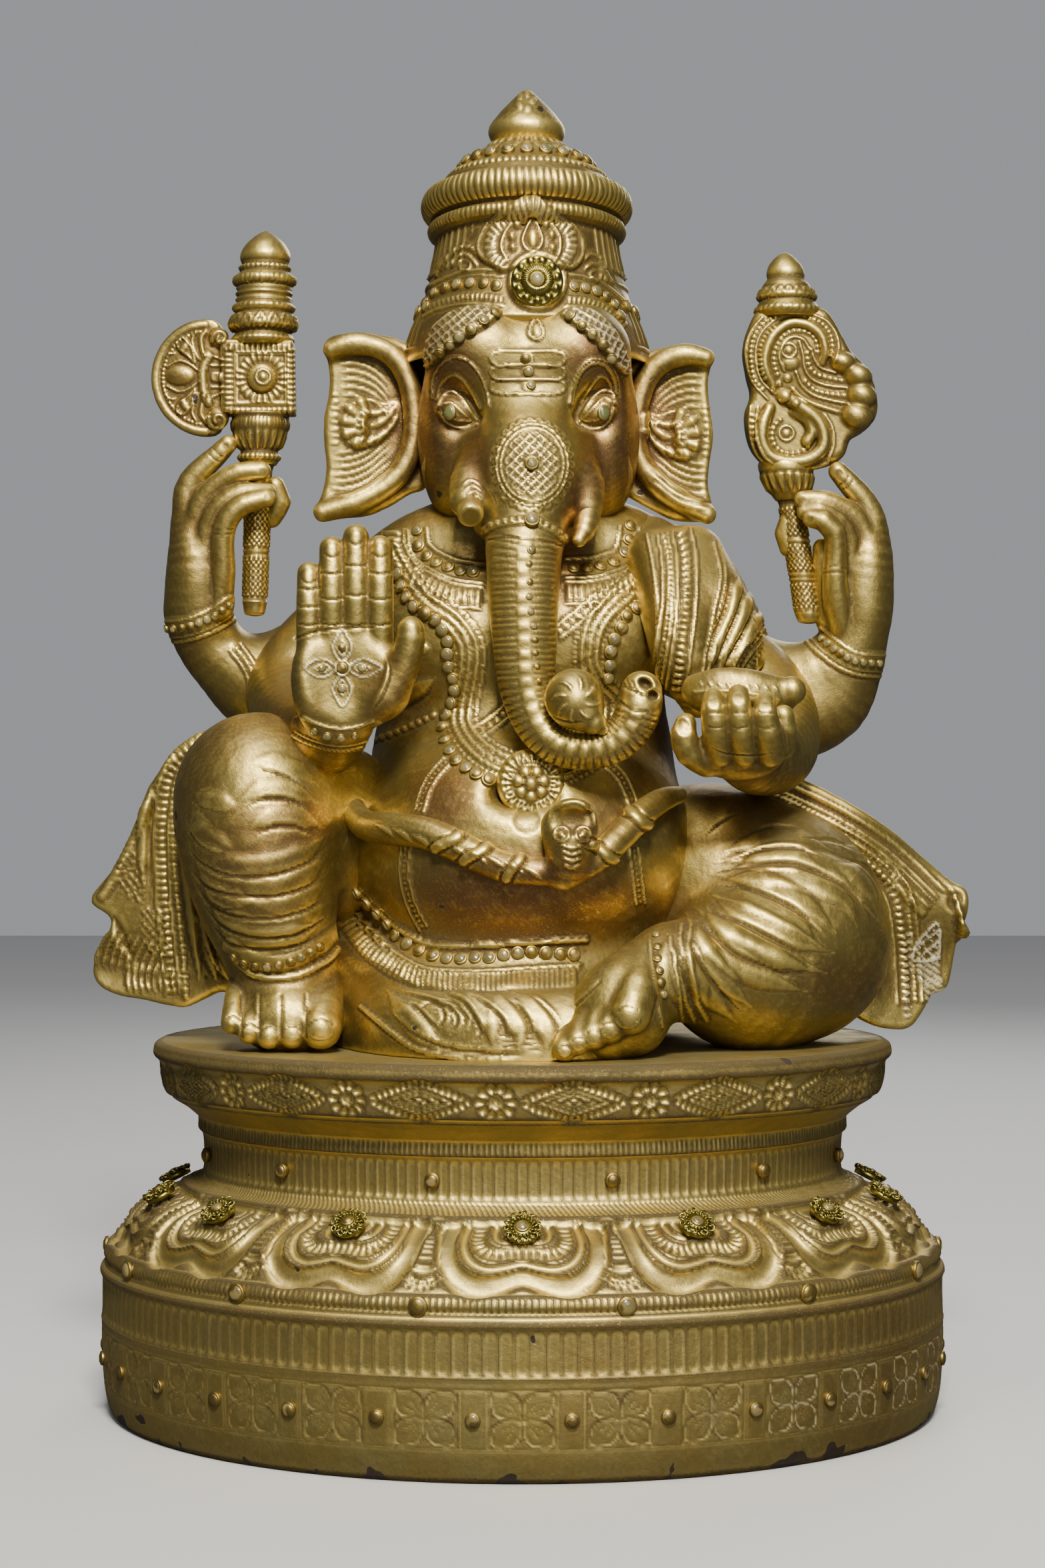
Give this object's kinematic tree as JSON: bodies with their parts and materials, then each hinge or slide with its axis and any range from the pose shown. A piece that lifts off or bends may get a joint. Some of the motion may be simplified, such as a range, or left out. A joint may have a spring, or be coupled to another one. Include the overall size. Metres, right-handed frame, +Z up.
{
  "type": "ganesha idol",
  "caption": "Seated four-armed elephant-headed devotional figure with crown, axe, noose and sweets, loose on a round lotus pedestal, set with glass stones.",
  "frame": {"origin": "centre of the pedestal's underside, on the shelf", "axes": "+Z up along the figure, -Y towards the viewer the figure faces, +X towards the figure's left hand"},
  "size_m": [0.41, 0.3198, 0.612],
  "materials": {
    "figure_gold": "cast resin, antique gold paint with brown patina in the recesses and silver-white painted motifs",
    "pedestal_gold": "cast resin, antique gold paint with grey-green and brown patina, chipped dark at the bottom rim",
    "gilt_filigree": "thin stamped gilt metal flowers, glued on",
    "paste_stone": "faceted foil-backed glass stones, glued on",
    "rod_steel": "plain drawn wire"
  },
  "bodies": {
    "pedestal": {"pedestal_casting": "pedestal_gold", "petal_flower_caps": "gilt_filigree", "petal_flower_stones": "paste_stone", "neck_studs": "paste_stone", "rope_band_stones": "paste_stone", "drum_studs": "paste_stone"},
    "figure": {"torso_casting": "figure_gold", "right_leg": "figure_gold", "left_leg": "figure_gold", "right_cloth_flare": "figure_gold", "left_cloth_flare": "figure_gold", "head_with_trunk": "figure_gold", "crown_casting": "figure_gold", "crown_finial": "figure_gold", "right_ear": "figure_gold", "left_ear": "figure_gold", "broken_tusk": "figure_gold", "whole_tusk": "figure_gold", "rear_right_arm": "figure_gold", "rear_left_arm": "figure_gold", "front_right_arm": "figure_gold", "front_left_arm": "figure_gold", "axe": "figure_gold", "noose": "figure_gold", "shawl": "figure_gold", "sweets_dish": "figure_gold", "modak": "figure_gold", "snake_belt": "figure_gold", "garland_medallion": "figure_gold", "rear_right_arm_rod": "rod_steel", "rear_left_arm_rod": "rod_steel", "crown_brooch": "gilt_filigree", "brooch_stone": "paste_stone", "crown_rim_stones": "paste_stone", "crown_band_stones": "paste_stone", "brow_stones": "paste_stone", "collar_stones": "paste_stone", "garland_stones": "paste_stone", "belt_stones": "paste_stone", "palm_gems": "paste_stone", "trunk_stones": "paste_stone", "forehead_stones": "paste_stone", "eye_stones": "paste_stone", "bangle_stones": "paste_stone", "anklet_stones": "paste_stone"}
  },
  "joints": [
    {"name": "figure_lift", "type": "slide", "parent": "pedestal", "child": "figure", "axis": [0, 0, 1], "range_m": [0, 0.08]}
  ]
}
